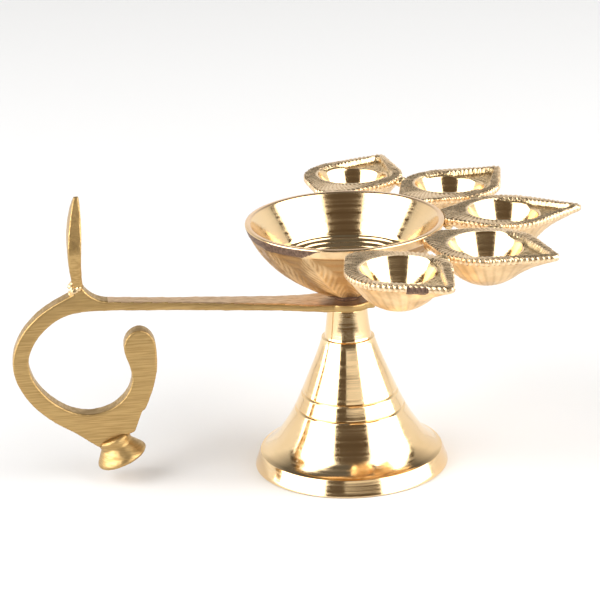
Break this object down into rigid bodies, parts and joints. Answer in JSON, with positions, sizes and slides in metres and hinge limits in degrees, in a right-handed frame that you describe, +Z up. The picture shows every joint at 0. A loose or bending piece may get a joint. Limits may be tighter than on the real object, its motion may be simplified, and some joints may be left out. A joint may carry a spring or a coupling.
{
  "type": "hand held oil lamp",
  "caption": "Footed brass oil lamp with a round bowl, a fan of leaf-shaped wick cups and a side handle with a finger loop.",
  "frame": {"origin": "centre of the foot's bottom ring, on the plane the lamp stands on", "axes": "+Z up along the foot's and the bowl's axis; the handle runs along -X and the middle cup points along +X"},
  "size_m": [0.1879, 0.1474, 0.098],
  "materials": {
    "turned_brass": "turned and polished",
    "cast_brass": "sand cast, linished",
    "braze_metal": "brazed bead, as flowed"
  },
  "bodies": {
    "foot": {"foot_cone": "turned_brass"},
    "handle": {"handle_bar": "cast_brass", "thumb_leaf": "cast_brass", "rest_foot": "turned_brass", "leaf_braze": "braze_metal"},
    "screw": {"stud": "turned_brass"},
    "top": {"bowl": "turned_brass", "cup_1": "cast_brass", "cup_2": "cast_brass", "cup_3": "cast_brass", "cup_4": "cast_brass", "cup_5": "cast_brass", "cup_braze": "braze_metal"}
  },
  "joints": [
    {"name": "handle_swivel", "type": "hinge", "parent": "foot", "child": "handle", "pos_m": [0, 0, 0.0563], "axis": [0, 0, 1], "continuous": true},
    {"name": "stud_lift", "type": "slide", "parent": "foot", "child": "screw", "axis": [0, 0, 1], "range_m": [0, 0.009]},
    {"name": "bowl_turn", "type": "hinge", "parent": "screw", "child": "top", "pos_m": [0, 0, 0.0576], "axis": [0, 0, 1], "range_deg": [0, 3240]}
  ],
  "couplings": [
    {"joint": "stud_lift", "follows": "bowl_turn", "m_per_rad": 0.00015915}
  ]
}
